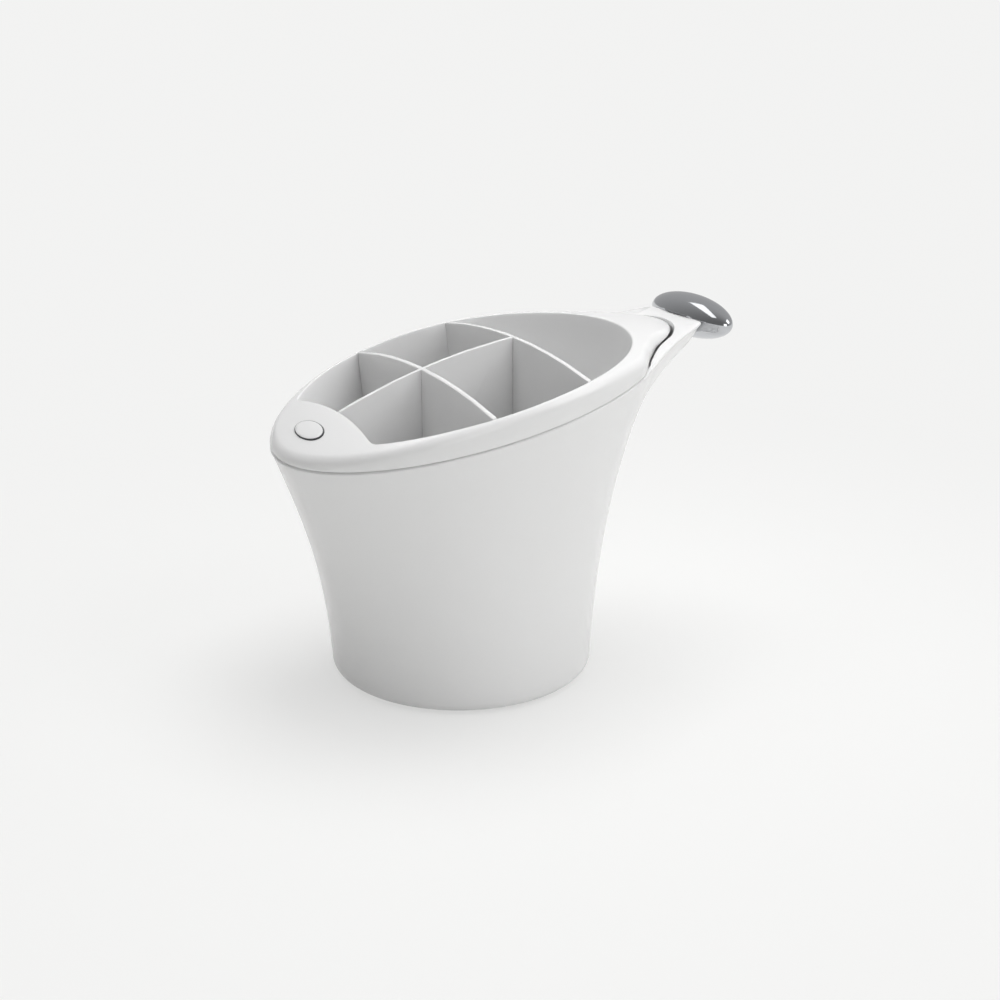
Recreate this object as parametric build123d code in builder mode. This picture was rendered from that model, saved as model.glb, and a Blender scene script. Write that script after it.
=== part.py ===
"""Cutlery drainer: a flared pot with a hollow pouring handle, and a lift-out basket for cutlery.

Millimetres. The origin is the middle of the foot on the table, +Z is up, +X points to the handle,
and the part is the same on both sides of the XZ plane.
"""

from build123d import *
from math import acos, asin, cos, degrees, hypot, pi, sin, sqrt
import os

# Pot: its round foot and its oval, slanted mouth
foot_radius = 60.0
foot_ring_proud = 0.6
mouth_half_length = 90.5
mouth_half_width = 70.8
mouth_shift = 4.4
lip_height = 128.0
lip_slope = 0.204
pot_wall = 2.4
pot_floor = 3.0
foot_rounding = 5.0

# Handle: the mouth is drawn out into a hollow spout
spout_reach = 65.4
spout_sharpness = 33.6
spout_growth = 6.8
spout_narrowing = 0.16
handle_end = 116.4

# Foot ring, pressed into a groove under the pot
ring_outer = 54.0
ring_width = 6.0
ring_groove_depth = 1.4

# Knob and its screw
knob_centre_x = 125.5
knob_centre_z = 150.3
knob_half_length = 29.5
knob_radius = 10.1
knob_tip_flat = 0.4
knob_top_gap = 0.2
spigot_diameter = 8.0
spigot_length = 1.8
spigot_height = 145.0
screw_diameter = 4.0
screw_reach = 10.0
screw_head_diameter = 7.0
screw_head_height = 2.4
screw_hole_clearance = 0.4
thread_clearance = 0.1
screw_head_clearance = 0.6
screw_web = 2.1

# Lift-out insert: a collar with a domed top, carrying the basket
dome_radius = 300.0
dome_side_radius = 342.0
dome_top_x = 60.9
dome_top_z = 152.9
collar_wall = 2.5
collar_skirt = 1.8
collar_rounding = 3.5
seat_gap = 0.25
spout_gap = 1.2
tongue_tip = 107.0
tongue_shoulder_x = 60.0
platform_edge = -58.4
platform_radius = 260.0

# Basket
basket_foot_radius = 53.2
basket_half_length = 74.2
basket_half_width = 65.4
basket_shift = 1.9
basket_wall = 1.6
basket_floor = 2.0
sump_depth = 13.0
hole_diameter = 5.0
holes_between_dividers = 5

# Dividers
divider_thickness = 2.0
divider_groove = 0.5
divider_clearance = 0.1
front_divider_x = -18.4
rear_divider_x = 27.7

# Badge: a plain oval on the platform
badge_x = -72.1
badge_length = 23.8
badge_width = 10.0
badge_thickness = 1.4
badge_recess = 0.6
badge_rounding = 0.5
badge_gap = 0.05
peg_diameter = 2.6
peg_length = 1.2

# Worked out from the sizes above
pot_foot_z = foot_ring_proud
cavity_foot_z = pot_foot_z + pot_floor
cavity_radius = foot_radius - pot_wall
cavity_rounding = foot_rounding - pot_wall
basket_foot_z = cavity_foot_z + sump_depth
basket_floor_z = basket_foot_z + basket_floor
spout_points = 48
shift_growth = 5.3
reach = 400.0


def flare_long(share):
    """How far the half length has grown from foot to lip: slowly at first, then fast."""
    return 0.26 * share + 0.74 * share**2.3


def flare_wide(share):
    """How far the half width has grown from foot to lip."""
    return 0.19 * share + 0.81 * share**1.77


def slanted(share, foot_z):
    """The plane of a section: level at the foot, and parallel to the lip at share 1."""
    slope = share * lip_slope
    height = foot_z + share * (lip_height - foot_z)
    return Plane(origin=(0, 0, height), x_dir=(1, 0, slope), z_dir=(-slope, 0, 1))


def section_size(share, foot, lengthening, widening):
    """Half length and half width of one section, seen from above."""
    long = foot + lengthening * flare_long(share)
    wide = foot + widening * flare_wide(share)
    return long, wide


def spout_section(share, foot, lengthening, widening, shift, spout):
    """Points of a section that is drawn out to a spout."""
    long, wide = section_size(share, foot, lengthening, widening)
    stretch = hypot(1, share * lip_slope)
    points = []
    for step in range(spout_points):
        turn = 2 * pi * step / spout_points
        beak = share**spout_growth * ((1 + cos(turn)) / 2) ** spout_sharpness
        x = shift * share**shift_growth + long * cos(turn) + spout * beak
        y = wide * sin(turn) * (1 - spout_narrowing * beak)
        points.append((x * stretch, y))
    return points


def spouted_form(shares, foot_z, foot, lengthening, widening, shift, spout):
    """A flared body with a spout, lofted from its round foot through its slanted sections."""
    with BuildPart() as form:
        with BuildSketch(slanted(0, foot_z)):
            Circle(foot)
        for share in shares:
            with BuildSketch(slanted(share, foot_z)):
                with BuildLine():
                    Spline(
                        *spout_section(share, foot, lengthening, widening, shift, spout),
                        periodic=True,
                    )
                make_face()
        loft()
    return form.part


def oval_form(shares, foot_z, foot, lengthening, widening, shift):
    """A plain flared body, lofted from its round foot through slanted oval sections."""
    with BuildPart() as form:
        with BuildSketch(slanted(0, foot_z)):
            Circle(foot)
        for share in shares:
            long, wide = section_size(share, foot, lengthening, widening)
            stretch = hypot(1, share * lip_slope)
            with BuildSketch(slanted(share, foot_z)):
                with Locations((shift * share * stretch, 0)):
                    Ellipse(long * stretch, wide)
        loft()
    return form.part


def rounded_foot(foot_z, foot, rounding):
    """The disc under a flared body, with its lower edge rounded."""
    with BuildPart() as disc:
        with BuildSketch(Plane.XY.offset(foot_z)):
            Circle(foot)
        extrude(amount=rounding)
        fillet(disc.edges().group_by(Axis.Z)[0], 0.98 * rounding)
    return disc.part


pot_shares = [0.12, 0.28, 0.45, 0.6, 0.72, 0.82, 0.9, 0.96, 1]
cavity_shares = pot_shares + [1.04]
basket_shares = [0.2, 0.4, 0.6, 0.8, 1, 1.2]


def lip_z(x):
    return lip_height + lip_slope * x


def dome_z(x):
    return dome_top_z - dome_radius + sqrt(dome_radius**2 - (x - dome_top_x) ** 2)


# The collar's outline seen from above: the pot's oval mouth, drawn in behind the shoulders to a
# tongue that lies inside the spout
shoulder_turn = acos((tongue_shoulder_x - mouth_shift) / mouth_half_length)
tongue_side = [(72.9, 42.1), (84.7, 30.3), (95.4, 23.0), (102.9, 14.2)]


def collar_shape(inset):
    """The collar's outline, moved inwards by inset."""
    half_length = mouth_half_length - inset
    half_width = mouth_half_width - inset
    shoulder = (
        mouth_shift + half_length * cos(shoulder_turn),
        half_width * sin(shoulder_turn),
    )
    heading = (half_length * sin(shoulder_turn), -half_width * cos(shoulder_turn))
    side_line = [shoulder, *tongue_side, (tongue_tip, 0)]
    side = []
    for before, point, after in zip(side_line, side_line[1:], side_line[2:]):
        run = after[0] - before[0]
        drop = after[1] - before[1]
        length = hypot(run, drop)
        side.append((point[0] + inset * drop / length, point[1] - inset * run / length))
    with BuildSketch() as shape:
        with BuildLine():
            EllipticalCenterArc(
                (mouth_shift, 0),
                half_length,
                half_width,
                start_angle=degrees(shoulder_turn),
                arc_size=180 - degrees(shoulder_turn),
            )
            Spline(shoulder, *side, (tongue_tip - inset, 0), tangents=[heading, (0, -1)])
            mirror(about=Plane.XZ)
        make_face()
    return shape.sketch


def dome_form(inset):
    """A barrel whose top is the dome: an arc turned about a line along X far below the collar."""
    barrel_plane = Plane(
        origin=(0, 0, dome_top_z - dome_side_radius), x_dir=(1, 0, 0), z_dir=(0, 1, 0)
    )
    arc_centre = (dome_top_x, dome_side_radius - dome_radius)
    with BuildPart() as form:
        with BuildSketch(barrel_plane):
            with BuildLine():
                arc = CenterArc(arc_centre, dome_radius - inset, 40, 100)
                Polyline(arc @ 1, ((arc @ 1).X, 0), ((arc @ 0).X, 0), arc @ 0)
            make_face()
        revolve(axis=Axis(barrel_plane.origin, (1, 0, 0)))
    return form.part


dome_barrel = dome_form(0)
under_dome = dome_form(collar_wall)


# Outer pot
lip_plane = slanted(1, pot_foot_z)

pot_flare = (
    mouth_half_length - foot_radius,
    mouth_half_width - foot_radius,
    mouth_shift,
    spout_reach,
)

with BuildPart() as pot_cavity:
    add(spouted_form(cavity_shares, cavity_foot_z + cavity_rounding, cavity_radius, *pot_flare))
    add(rounded_foot(cavity_foot_z, cavity_radius, cavity_rounding))
    with BuildSketch(Plane.XY):
        add(collar_shape(-spout_gap))
    extrude(amount=reach, mode=Mode.INTERSECT)

screw_axis = Plane(origin=(handle_end, 0, spigot_height), z_dir=(1, 0, 0))
spigot_floor_x = handle_end - spigot_length
screw_seat_x = spigot_floor_x - screw_web

with BuildPart() as outer_pot:
    add(spouted_form(pot_shares, pot_foot_z + foot_rounding, foot_radius, *pot_flare))
    add(rounded_foot(pot_foot_z, foot_radius, foot_rounding))
    # the spout is cut off square, where the knob sits
    with Locations((handle_end + reach / 2, 0, reach / 2)):
        Box(reach, reach, reach, mode=Mode.SUBTRACT)
    add(pot_cavity.part, mode=Mode.SUBTRACT)
    # groove for the foot ring
    with BuildSketch(Plane.XY.offset(pot_foot_z)):
        Circle(ring_outer)
        Circle(ring_outer - ring_width, mode=Mode.SUBTRACT)
    extrude(amount=ring_groove_depth, mode=Mode.SUBTRACT)
    # socket for the knob's spigot, hole for its screw, and a seat for the screw's head
    with BuildSketch(screw_axis):
        Circle(spigot_diameter / 2)
    extrude(amount=-spigot_length, mode=Mode.SUBTRACT)
    with BuildSketch(screw_axis):
        Circle((screw_diameter + screw_hole_clearance) / 2)
    extrude(amount=-spigot_length - screw_web, mode=Mode.SUBTRACT)
    with BuildSketch(Plane(origin=(screw_seat_x, 0, spigot_height), z_dir=(-1, 0, 0))):
        Circle((screw_head_diameter + screw_head_clearance) / 2)
    extrude(amount=screw_seat_x - tongue_tip, mode=Mode.SUBTRACT)
outer_pot.part.label = "outer_pot"

# Foot ring
with BuildPart() as foot_ring:
    with BuildSketch(Plane.XY):
        Circle(ring_outer)
        Circle(ring_outer - ring_width, mode=Mode.SUBTRACT)
    extrude(amount=foot_ring_proud + ring_groove_depth)
foot_ring.part.label = "foot_ring"

# Knob: a long pebble across the handle's end, notched to sit on it
knob_notch_z = lip_z(handle_end) + knob_top_gap

pebble_turn = acos(knob_tip_flat / knob_radius)
pebble_profile = [
    (knob_radius * cos(pebble_turn * step / 12), knob_half_length * sin(pebble_turn * step / 12))
    for step in range(-12, 13)
]
pebble_end = pebble_profile[-1][1]

with BuildPart() as handle_knob:
    with BuildSketch(Plane(origin=(knob_centre_x, 0, knob_centre_z), z_dir=(0, 0, 1))):
        with BuildLine():
            Spline(*pebble_profile)
            Polyline(pebble_profile[-1], (0, pebble_end), (0, -pebble_end), pebble_profile[0])
        make_face()
    revolve(axis=Axis((knob_centre_x, 0, knob_centre_z), (0, 1, 0)))
    with Locations((handle_end - reach / 2, 0, knob_notch_z - reach / 2)):
        Box(reach, reach, reach, mode=Mode.SUBTRACT)
    with BuildSketch(screw_axis.offset(-spigot_length)):
        Circle(spigot_diameter / 2)
    extrude(amount=spigot_length + knob_centre_x - handle_end)
    with BuildSketch(screw_axis.offset(-spigot_length)):
        Circle((screw_diameter + thread_clearance) / 2)
    extrude(amount=spigot_length + screw_reach, mode=Mode.SUBTRACT)
handle_knob.part.label = "handle_knob"

# Screw, driven from inside the spout
with BuildPart() as knob_screw:
    with BuildSketch(Plane(origin=(screw_seat_x, 0, spigot_height), z_dir=(1, 0, 0))):
        Circle(screw_diameter / 2)
    extrude(amount=screw_web + spigot_length + screw_reach - 2 * thread_clearance)
    with BuildSketch(Plane(origin=(screw_seat_x, 0, spigot_height), z_dir=(-1, 0, 0))):
        Circle(screw_head_diameter / 2)
    extrude(amount=screw_head_height)
    head_rim = knob_screw.edges().filter_by(GeomType.CIRCLE).sort_by(Axis.X)[0]
    fillet(head_rim, screw_head_height / 3)
    with BuildSketch(Plane(origin=(screw_seat_x - screw_head_height, 0, spigot_height), z_dir=(-1, 0, 0))):
        Rectangle(screw_diameter, screw_diameter / 4)
        Rectangle(screw_diameter / 4, screw_diameter)
    extrude(amount=-screw_head_height / 2, mode=Mode.SUBTRACT)
knob_screw.part.label = "knob_screw"


def basket_form(outset):
    """The basket's inside grown by outset, with its front cut by the platform's long arc."""
    with BuildPart() as form:
        add(
            oval_form(
                basket_shares,
                basket_foot_z,
                basket_foot_radius + outset,
                basket_half_length - basket_foot_radius,
                basket_half_width - basket_foot_radius,
                basket_shift,
            )
        )
        with BuildSketch(Plane.XY):
            with Locations((platform_edge - platform_radius, 0)):
                Circle(platform_radius - outset)
        extrude(amount=reach, mode=Mode.SUBTRACT)
    return form.part


basket_inside = basket_form(0)
basket_outside = basket_form(basket_wall)
divider_space = basket_form(-divider_clearance)


def divider_plate(x, y, length, width):
    """An upright plate cut to the basket's inside and the dome, standing on the basket's floor."""
    with BuildPart() as plate:
        with BuildSketch(Plane.XY.offset(basket_floor_z)):
            with Locations((x, y)):
                Rectangle(length, width)
        extrude(amount=reach)
        add(divider_space, mode=Mode.INTERSECT)
        add(dome_barrel, mode=Mode.INTERSECT)
    return plate.part


# Centre divider runs from the platform to the rear divider
centre_start = platform_edge - basket_wall
centre_end = rear_divider_x - divider_thickness / 2 + divider_groove
centre_middle = (centre_start + centre_end) / 2
centre_length = centre_end - centre_start
across = 4 * foot_radius

front_plate = (front_divider_x, 0, divider_thickness, across)
rear_plate = (rear_divider_x, 0, divider_thickness, across)
centre_plate = (centre_middle, 0, centre_length, divider_thickness)

# The basket
with BuildPart() as basket_hollow:
    add(basket_inside)
    with BuildSketch(Plane.XY):
        Rectangle(across, across)
    extrude(amount=basket_floor_z, mode=Mode.SUBTRACT)

# Drain holes lie in rows that straddle the dividers, as far out as the floor is flat
hole_pitch = (rear_divider_x - front_divider_x) / holes_between_dividers
hole_rows = int(basket_foot_radius / hole_pitch) + 1
drain_holes = []
for row in range(-2 * hole_rows, 2 * hole_rows):
    for column in range(-hole_rows, hole_rows):
        hole_x = front_divider_x + hole_pitch * (row + 0.5)
        hole_y = hole_pitch * (column + 0.5)
        if hypot(hole_x, hole_y) < basket_foot_radius - hole_diameter:
            drain_holes.append((hole_x, hole_y))

with BuildPart() as drain_basket:
    add(basket_outside)
    add(under_dome, mode=Mode.INTERSECT)
    add(basket_hollow.part, mode=Mode.SUBTRACT)
    with BuildSketch(Plane.XY.offset(basket_foot_z)):
        with Locations(*drain_holes):
            Circle(hole_diameter / 2)
    extrude(amount=basket_floor, mode=Mode.SUBTRACT)
drain_basket.part.label = "drain_basket"


# Dividers: the cross ones are slotted from above, and the centre one from below to pass the front one
def slot_box(x, y, length, width, low, high):
    """A box between two heights, to cut a slot in an upright plate."""
    with BuildPart() as box:
        with BuildSketch(Plane.XY.offset(low)):
            with Locations((x, y)):
                Rectangle(length, width)
        extrude(amount=high - low)
    return box.part


slot_width = divider_thickness + 2 * divider_clearance
crossing_z = (basket_floor_z + dome_z(front_divider_x)) / 2

with BuildPart() as front_divider:
    add(divider_plate(*front_plate))
    add(
        slot_box(front_divider_x, 0, slot_width, slot_width, crossing_z, reach),
        mode=Mode.SUBTRACT,
    )
front_divider.part.label = "front_divider"

with BuildPart() as rear_divider:
    add(divider_plate(*rear_plate))
    add(
        slot_box(centre_end - reach / 2 + divider_clearance, 0, reach, slot_width, 0, reach),
        mode=Mode.SUBTRACT,
    )
rear_divider.part.label = "rear_divider"

with BuildPart() as centre_divider:
    add(divider_plate(*centre_plate))
    add(
        slot_box(front_divider_x, 0, slot_width, slot_width, 0, crossing_z),
        mode=Mode.SUBTRACT,
    )
centre_divider.part.label = "centre_divider"

# Collar: the basket's domed rim, with the platform at the front and the tongue at the back
# Its underside follows the pot's lip, and is hollow under the platform and the tongue; between them
# it takes the basket's edge
top_share = basket_shares[-1]
top_long, top_wide = section_size(
    top_share,
    basket_foot_radius + basket_wall + divider_clearance,
    basket_half_length - basket_foot_radius,
    basket_half_width - basket_foot_radius,
)

with BuildPart() as collar_hollow:
    with BuildSketch(Plane.XY):
        add(collar_shape(collar_skirt))
        with Locations(((platform_edge + tongue_shoulder_x) / 2, 0)):
            Rectangle(tongue_shoulder_x - platform_edge, across, mode=Mode.SUBTRACT)
        with Locations((basket_shift * top_share, 0)):
            Ellipse(top_long, top_wide)
        add(collar_shape(collar_skirt), mode=Mode.INTERSECT)
    extrude(amount=reach)
    with BuildSketch(lip_plane.offset(seat_gap)):
        Rectangle(across, across)
    extrude(amount=-2 * lip_height)
    add(under_dome, mode=Mode.INTERSECT)

with BuildPart() as collar_top:
    with BuildSketch(Plane.XY):
        add(collar_shape(0))
    extrude(amount=reach)
    add(dome_barrel, mode=Mode.INTERSECT)

badge_lean = asin((badge_x - dome_top_x) / dome_radius)
badge_plane = Plane(
    origin=(badge_x, 0, dome_z(badge_x)),
    x_dir=(0, 1, 0),
    z_dir=(sin(badge_lean), 0, cos(badge_lean)),
)
badge_seat = badge_plane.offset(-badge_recess)

with BuildPart() as insert_collar:
    add(collar_top.part)
    dome_face = insert_collar.faces().sort_by(Axis.Z)[-1]
    fillet(dome_face.edges(), collar_rounding)
    add(collar_hollow.part, mode=Mode.SUBTRACT)
    add(basket_inside, mode=Mode.SUBTRACT)
    with BuildSketch(badge_seat):
        Ellipse(badge_length / 2 + badge_gap, badge_width / 2 + badge_gap)
    extrude(amount=collar_wall, mode=Mode.SUBTRACT)
    with BuildSketch(badge_seat):
        Circle(peg_diameter / 2 + badge_gap)
    extrude(amount=-collar_wall, mode=Mode.SUBTRACT)
insert_collar.part.label = "insert_collar"

# Badge
with BuildPart() as badge:
    with BuildSketch(badge_seat):
        Ellipse(badge_length / 2, badge_width / 2)
    extrude(amount=badge_thickness)
    fillet(badge.edges().sort_by_distance(badge_plane.origin)[0], badge_rounding)
    with BuildSketch(badge_seat):
        Circle(peg_diameter / 2)
    extrude(amount=-peg_length)
badge.part.label = "badge"

os.makedirs("parts", exist_ok=True)
for piece in (
    outer_pot,
    foot_ring,
    handle_knob,
    knob_screw,
    drain_basket,
    front_divider,
    rear_divider,
    centre_divider,
    insert_collar,
    badge,
):
    export_step(piece.part, f"parts/{piece.part.label}.step")
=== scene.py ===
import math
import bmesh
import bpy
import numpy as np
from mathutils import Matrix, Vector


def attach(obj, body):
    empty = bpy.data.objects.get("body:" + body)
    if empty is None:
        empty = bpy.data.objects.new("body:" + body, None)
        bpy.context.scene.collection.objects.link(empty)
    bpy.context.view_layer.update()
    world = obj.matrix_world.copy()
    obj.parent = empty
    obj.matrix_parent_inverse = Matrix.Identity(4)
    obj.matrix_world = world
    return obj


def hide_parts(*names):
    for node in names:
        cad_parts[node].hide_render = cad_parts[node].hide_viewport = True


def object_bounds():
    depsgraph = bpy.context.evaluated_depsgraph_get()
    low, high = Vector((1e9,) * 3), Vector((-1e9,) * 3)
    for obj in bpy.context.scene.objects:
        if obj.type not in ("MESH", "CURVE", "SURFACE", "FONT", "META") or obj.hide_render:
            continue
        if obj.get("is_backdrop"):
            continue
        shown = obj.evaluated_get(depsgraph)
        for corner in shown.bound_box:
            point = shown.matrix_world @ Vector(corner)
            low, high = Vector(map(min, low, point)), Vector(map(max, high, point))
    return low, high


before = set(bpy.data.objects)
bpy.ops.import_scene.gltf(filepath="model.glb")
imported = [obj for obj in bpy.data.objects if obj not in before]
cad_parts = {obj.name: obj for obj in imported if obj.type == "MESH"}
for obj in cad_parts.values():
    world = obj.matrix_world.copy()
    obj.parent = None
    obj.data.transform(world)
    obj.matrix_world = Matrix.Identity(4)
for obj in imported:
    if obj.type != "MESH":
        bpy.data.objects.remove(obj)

# %% [markdown]
# # A cutlery drainer in white plastic
# The real object is a flared pot that stands beside a sink. Its mouth is slanted and oval, and it is
# drawn out at one side into a hollow handle, so that the pot can be lifted and its water poured out.
# Cutlery stands in five compartments of a basket that lifts out.
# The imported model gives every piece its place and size. This script dresses it: each surface gets
# the finish of the real one, and what the model only blocks out is made again as a smooth mesh.

packed_low, packed_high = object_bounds()
packed_size = [packed_high[axis] - packed_low[axis] for axis in range(3)]
print("packed model measures", [round(side * 1000, 1) for side in packed_size], "mm")

# %% [markdown]
# ## The camera
# A product picture like this one is taken from the front left, a little above the pot, so that the
# compartments and the side both show. A camera's turn is easiest to give as the point that it looks
# at: the vector from camera to point becomes a rotation with to_track_quat. The lens is a short
# telephoto, which keeps the oval mouth from looking stretched.

# %% Camera
camera_place = Vector((-0.32306, -0.60600, 0.31463))
camera_aim = camera_place + Vector((0.46670, 0.82240, -0.32540))

camera_data = bpy.data.cameras.new("product_camera")
camera_data.lens = 57.6
camera_data.sensor_width = 36.0
camera = bpy.data.objects.new("product_camera", camera_data)
bpy.context.scene.collection.objects.link(camera)
camera.location = camera_place
camera.rotation_euler = (camera_aim - camera_place).to_track_quat("-Z", "Y").to_euler()
bpy.context.scene.camera = camera
print("camera stands", round((camera_place - Vector((0, 0, 0.08))).length, 3), "m from the pot")

# %% [markdown]
# ## Floor, world and lamps
# The pot stands on a pale table without a visible edge: one quad far wider than the view. Four walls
# far behind it carry the same tone, for views from low down. The world is a studio that is pale at
# the right and behind, and darkens smoothly to the left and the front: polished metal only looks
# like metal when it has something dark to mirror. So the walls are shown to the camera alone.
# A large lamp at the right lights the side and a weaker one in front fills it. A long one behind
# makes the highlight on the knob. The last one lights everything from above, and no shine shows it.

# %% Helpers that keep node trees readable
def add_node(tree, kind, **settings):
    """A node of this kind with its settings."""
    node = tree.nodes.new(kind)
    for setting, value in settings.items():
        setattr(node, setting, value)
    return node


def calculate(tree, operation, first, second):
    """A Math node; each of its values is a socket or a number."""
    node = add_node(tree, "ShaderNodeMath", operation=operation)
    for place, value in enumerate((first, second)):
        if isinstance(value, (int, float)):
            node.inputs[place].default_value = value
        else:
            tree.links.new(value, node.inputs[place])
    return node.outputs[0]


print("node helpers ready")


# %% Table and backdrop
def stage_piece(name, points, faces):
    """A plain mesh that belongs to the studio and not to the model."""
    mesh = bpy.data.meshes.new(name)
    mesh.from_pydata(points, [], faces)
    piece = bpy.data.objects.new(name, mesh)
    bpy.context.scene.collection.objects.link(piece)
    return piece


def square_corners(reach, height):
    """The corners of a level square about the middle of the scene."""
    return [(x * reach, y * reach, height) for x, y in ((-1, -1), (1, -1), (1, 1), (-1, 1))]


floor_reach = 40
wall_reach = 8
wall_height = 12
floor = stage_piece("table", square_corners(floor_reach, 0), [(0, 1, 2, 3)])
floor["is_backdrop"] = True

wall_points = square_corners(wall_reach, 0) + square_corners(wall_reach, wall_height)
walls = [(side, (side + 1) % 4, (side + 1) % 4 + 4, side + 4) for side in range(4)]
backdrop = stage_piece("backdrop", wall_points, walls)
backdrop.visible_diffuse = False
backdrop.visible_glossy = False
backdrop.visible_transmission = False
backdrop.visible_shadow = False
backdrop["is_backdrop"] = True
print("table and backdrop stand ready")

# %% World
towards_pale = (0.81, 0.50, 0.30)
darkest_sky = 0.18
palest_sky = 0.50
world = bpy.data.worlds.new("studio")
bpy.context.scene.world = world
world.use_nodes = True
world_tree = world.node_tree
sky = world_tree.nodes["Background"]
sky.inputs["Color"].default_value = (1, 1, 1, 1)
sky_place = add_node(world_tree, "ShaderNodeTexCoord")
pale_side = add_node(world_tree, "ShaderNodeVectorMath", operation="DOT_PRODUCT")
pale_side.inputs[1].default_value = towards_pale
world_tree.links.new(sky_place.outputs["Generated"], pale_side.inputs[0])
sky_light = add_node(world_tree, "ShaderNodeMapRange", interpolation_type="SMOOTHSTEP")
sky_light.inputs["From Min"].default_value = -0.8
sky_light.inputs["From Max"].default_value = 0.9
sky_light.inputs["To Min"].default_value = darkest_sky
sky_light.inputs["To Max"].default_value = palest_sky
world_tree.links.new(pale_side.outputs["Value"], sky_light.inputs["Value"])
world_tree.links.new(sky_light.outputs["Result"], sky.inputs["Strength"])
bpy.context.scene.view_settings.view_transform = "Standard"
print("world", world.name, "lights from its pale side")


# %% Lamps
def soft_lamp(name, place, aim, width, height, power):
    """A rectangular area lamp that points from its place to aim."""
    data = bpy.data.lights.new(name, "AREA")
    data.shape = "RECTANGLE"
    data.size = width
    data.size_y = height
    data.energy = power
    lamp = bpy.data.objects.new(name, data)
    bpy.context.scene.collection.objects.link(lamp)
    lamp.location = place
    lamp.rotation_euler = (Vector(aim) - Vector(place)).to_track_quat("-Z", "Y").to_euler()
    return lamp


soft_lamp("side_lamp", (0.9, -1.0, 1.2), (0, 0, 0.08), 0.9, 0.9, 6)
soft_lamp("front_lamp", (-0.35, -1.5, 0.45), (0, 0, 0.08), 0.9, 0.7, 4.3)
soft_lamp("highlight_lamp", (-0.40, 0.48, 1.34), (0.1, 0, 0.14), 1.3, 0.4, 2.4)
top_lamp = soft_lamp("top_lamp", (0.35, 0.15, 1.4), (0, 0, 0.14), 0.9, 0.9, 14)
top_lamp.visible_glossy = False
print("four lamps in a studio")


# %% [markdown]
# ## Finishes
# All the plastic is one moulded finish: nearly white, glossy, with a very shallow waviness from the
# mould that only shows in highlights. A Noise texture on Object coordinates drives a weak Bump for
# the waviness and a small change in roughness, so that no surface is perfectly even.

# %% Helpers for new materials
def new_finish(name):
    """An empty node material and its Principled shader."""
    finish = bpy.data.materials.new(name)
    finish.use_nodes = True
    shader = finish.node_tree.nodes["Principled BSDF"]
    return finish, shader


def noise_texture(tree, scale, detail):
    """A Noise texture that reads Object coordinates."""
    place = add_node(tree, "ShaderNodeTexCoord")
    noise = add_node(tree, "ShaderNodeTexNoise")
    noise.inputs["Scale"].default_value = scale
    noise.inputs["Detail"].default_value = detail
    tree.links.new(place.outputs["Object"], noise.inputs["Vector"])
    return noise


def spread(tree, value, low, high):
    """Maps a value of 0 to 1 onto low to high."""
    reach = add_node(tree, "ShaderNodeMapRange")
    reach.inputs["To Min"].default_value = low
    reach.inputs["To Max"].default_value = high
    tree.links.new(value, reach.inputs["Value"])
    return reach.outputs["Result"]


def shallow_bump(tree, shader, height, strength, distance):
    """A weak bump on the shader's normal."""
    bump = add_node(tree, "ShaderNodeBump")
    bump.inputs["Strength"].default_value = strength
    bump.inputs["Distance"].default_value = distance
    tree.links.new(height, bump.inputs["Height"])
    tree.links.new(bump.outputs["Normal"], shader.inputs["Normal"])


# %% White plastic
def moulded_plastic(name, colour, low_gloss, high_gloss):
    """Glossy moulded plastic with a faint waviness and a faint change of tone."""
    finish, shader = new_finish(name)
    tree = finish.node_tree
    waves = noise_texture(tree, 35, 2)
    shallow_bump(tree, shader, waves.outputs["Fac"], 0.15, 0.0004)
    gloss = spread(tree, waves.outputs["Fac"], low_gloss, high_gloss)
    tree.links.new(gloss, shader.inputs["Roughness"])
    tone = add_node(tree, "ShaderNodeMix", data_type="RGBA")
    tone.inputs["A"].default_value = (*colour, 1)
    tone.inputs["B"].default_value = (*[channel * 0.97 for channel in colour], 1)
    tree.links.new(noise_texture(tree, 9, 3).outputs["Fac"], tone.inputs["Factor"])
    tree.links.new(tone.outputs["Result"], shader.inputs["Base Color"])
    shader.inputs["IOR"].default_value = 1.5
    return finish


white_plastic = moulded_plastic("white_plastic", (0.80, 0.80, 0.80), 0.16, 0.26)
badge_plastic = moulded_plastic("badge_plastic", (0.80, 0.80, 0.80), 0.22, 0.32)
print("plastic finishes:", white_plastic.name, badge_plastic.name)

# %% Chrome and steel
chrome, chrome_shader = new_finish("polished_chrome")
chrome_shader.inputs["Base Color"].default_value = (0.56, 0.57, 0.59, 1)
chrome_shader.inputs["Metallic"].default_value = 1
chrome_tree = chrome.node_tree
chrome_waves = noise_texture(chrome_tree, 60, 2)
shallow_bump(chrome_tree, chrome_shader, chrome_waves.outputs["Fac"], 0.06, 0.0003)
chrome_gloss = spread(chrome_tree, chrome_waves.outputs["Fac"], 0.07, 0.13)
chrome_tree.links.new(chrome_gloss, chrome_shader.inputs["Roughness"])

steel, steel_shader = new_finish("bright_steel")
steel_shader.inputs["Base Color"].default_value = (0.50, 0.51, 0.53, 1)
steel_shader.inputs["Metallic"].default_value = 1
steel_tree = steel.node_tree
steel_grain = noise_texture(steel_tree, 900, 4)
steel_gloss = spread(steel_tree, steel_grain.outputs["Fac"], 0.22, 0.42)
steel_tree.links.new(steel_gloss, steel_shader.inputs["Roughness"])
print("metal finishes:", chrome.name, steel.name)


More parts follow.
